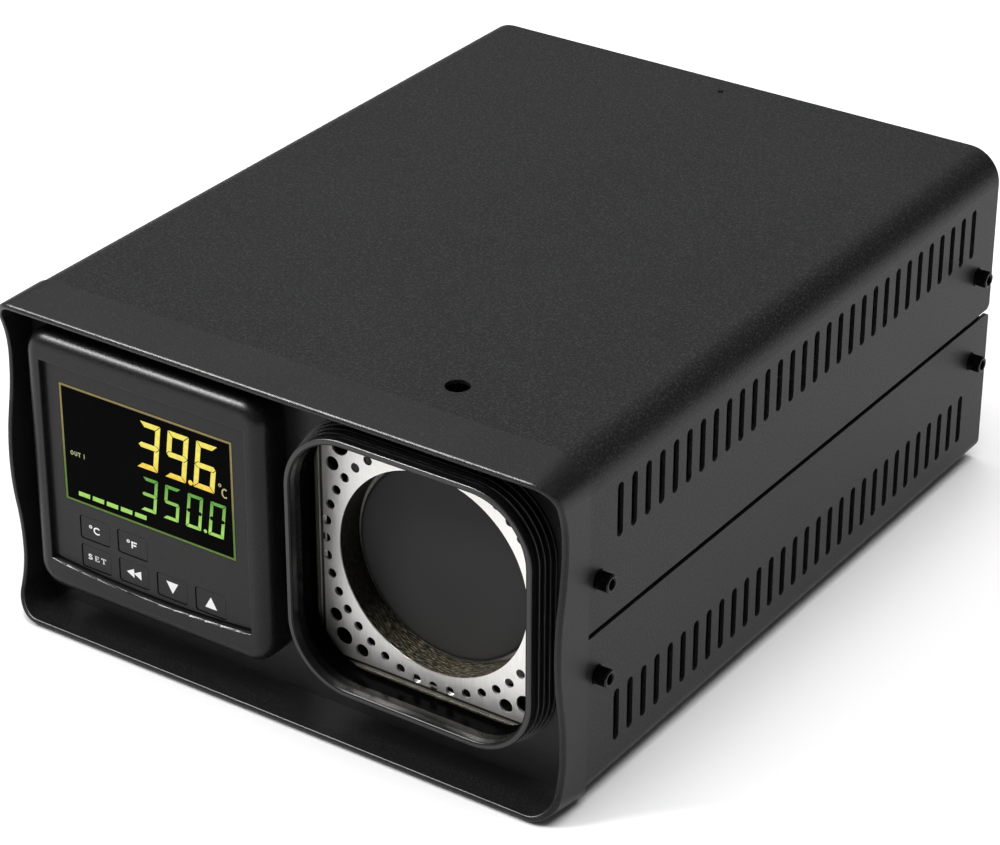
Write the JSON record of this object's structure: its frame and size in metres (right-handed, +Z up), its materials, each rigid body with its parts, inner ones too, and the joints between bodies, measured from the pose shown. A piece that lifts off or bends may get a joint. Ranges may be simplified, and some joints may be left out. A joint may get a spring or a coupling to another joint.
{
  "type": "infrared thermometer calibrator",
  "caption": "Desktop infrared calibrator: slotted black case with a waved front hood, digital controller with keys, and a ribbed collar round a heated target disc.",
  "frame": {"origin": "centre of the footprint's bounding box, on the surface that the rubber feet stand on", "axes": "+Z up, -Y towards the front with the display and the source, +X to the right seen from the front"},
  "size_m": [0.206, 0.26, 0.1129],
  "materials": {
    "moulded_black": "fine-grained satin moulding",
    "powder_black": "fine-textured powder coat on bent steel sheet",
    "bezel_plastic": "satin moulding",
    "key_plastic": "satin moulding",
    "display_dark": "smoked gloss window",
    "stainless": "bright perforated sheet",
    "target_coat": "machined block with a matt dark coating",
    "black_steel": "black oxide",
    "zinc_steel": "zinc plated",
    "galvanised": "plain galvanised sheet",
    "brass": "plain turned",
    "rubber_black": "matt",
    "mica": "layered mica sheet",
    "felt": "ceramic-fibre felt",
    "board_green": "solder mask",
    "case_plastic": "plain moulding",
    "terminal_plastic": "plain moulding",
    "relay_plastic": "plain moulding",
    "gloss_black": "plain moulding",
    "fuse_glass": "clear tube with metal ends",
    "guard_wire": "plated wire",
    "lead_sleeve": "insulated lead"
  },
  "bodies": {
    "case": {"bezel_gasket": "rubber_black", "bottom_cover": "powder_black", "clamp_plate": "galvanised", "controller_bezel": "bezel_plastic", "controller_board": "board_green", "controller_case": "case_plastic", "cover_rivet": "black_steel", "display_module": "case_plastic", "display_window": "display_dark", "fan_frame": "gloss_black", "fan_guard": "guard_wire", "foot_nuts": "zinc_steel", "foot_screws": "zinc_steel", "frame_inserts": "brass", "front_frame": "moulded_black", "heat_shield": "stainless", "housing_screws": "zinc_steel", "inlet_blades": "brass", "insulation_jacket": "felt", "key_switches": "case_plastic", "mica_heater": "mica", "panel_clips": "case_plastic", "power_inlet": "gloss_black", "rear_nuts": "zinc_steel", "rear_panel": "powder_black", "rear_screws": "black_steel", "relay_screws": "black_steel", "rivet_nuts": "zinc_steel", "rubber_feet": "rubber_black", "side_screws": "black_steel", "solid_state_relay": "relay_plastic", "source_bolts": "zinc_steel", "source_collar": "moulded_black", "source_housing": "galvanised", "standoffs": "zinc_steel", "switch_body": "gloss_black", "target_block": "target_coat", "temperature_sensor": "stainless", "terminal_block": "terminal_plastic", "top_cover": "powder_black", "wiring": "lead_sleeve"},
    "key_celsius": {"key_celsius": "key_plastic"},
    "key_fahrenheit": {"key_fahrenheit": "key_plastic"},
    "key_set": {"key_set": "key_plastic"},
    "key_shift": {"key_shift": "key_plastic"},
    "key_down": {"key_down": "key_plastic"},
    "key_up": {"key_up": "key_plastic"},
    "power_rocker": {"power_rocker": "gloss_black"},
    "fan_rotor": {"fan_rotor": "gloss_black"},
    "fuse_drawer": {"fuse_drawer": "gloss_black", "fuses": "fuse_glass"}
  },
  "joints": [
    {"name": "key_celsius_press", "type": "slide", "parent": "case", "child": "key_celsius", "axis": [0, 1, 0], "range_m": [0, 0.0006], "stiffness_N_per_m": 800},
    {"name": "key_fahrenheit_press", "type": "slide", "parent": "case", "child": "key_fahrenheit", "axis": [0, 1, 0], "range_m": [0, 0.0006], "stiffness_N_per_m": 800},
    {"name": "key_set_press", "type": "slide", "parent": "case", "child": "key_set", "axis": [0, 1, 0], "range_m": [0, 0.0006], "stiffness_N_per_m": 800},
    {"name": "key_shift_press", "type": "slide", "parent": "case", "child": "key_shift", "axis": [0, 1, 0], "range_m": [0, 0.0006], "stiffness_N_per_m": 800},
    {"name": "key_down_press", "type": "slide", "parent": "case", "child": "key_down", "axis": [0, 1, 0], "range_m": [0, 0.0006], "stiffness_N_per_m": 800},
    {"name": "key_up_press", "type": "slide", "parent": "case", "child": "key_up", "axis": [0, 1, 0], "range_m": [0, 0.0006], "stiffness_N_per_m": 800},
    {"name": "power_rocker_tip", "type": "hinge", "parent": "case", "child": "power_rocker", "pos_m": [0.052, 0.1253, 0.081], "axis": [-1, 0, 0], "range_deg": [0, 20]},
    {"name": "fan_spin", "type": "hinge", "parent": "case", "child": "fan_rotor", "pos_m": [-0.0463, 0.115, 0.058], "axis": [0, 1, 0], "continuous": true},
    {"name": "fuse_drawer_slide", "type": "slide", "parent": "case", "child": "fuse_drawer", "axis": [0, 1, 0], "range_m": [0, 0.015]}
  ]
}
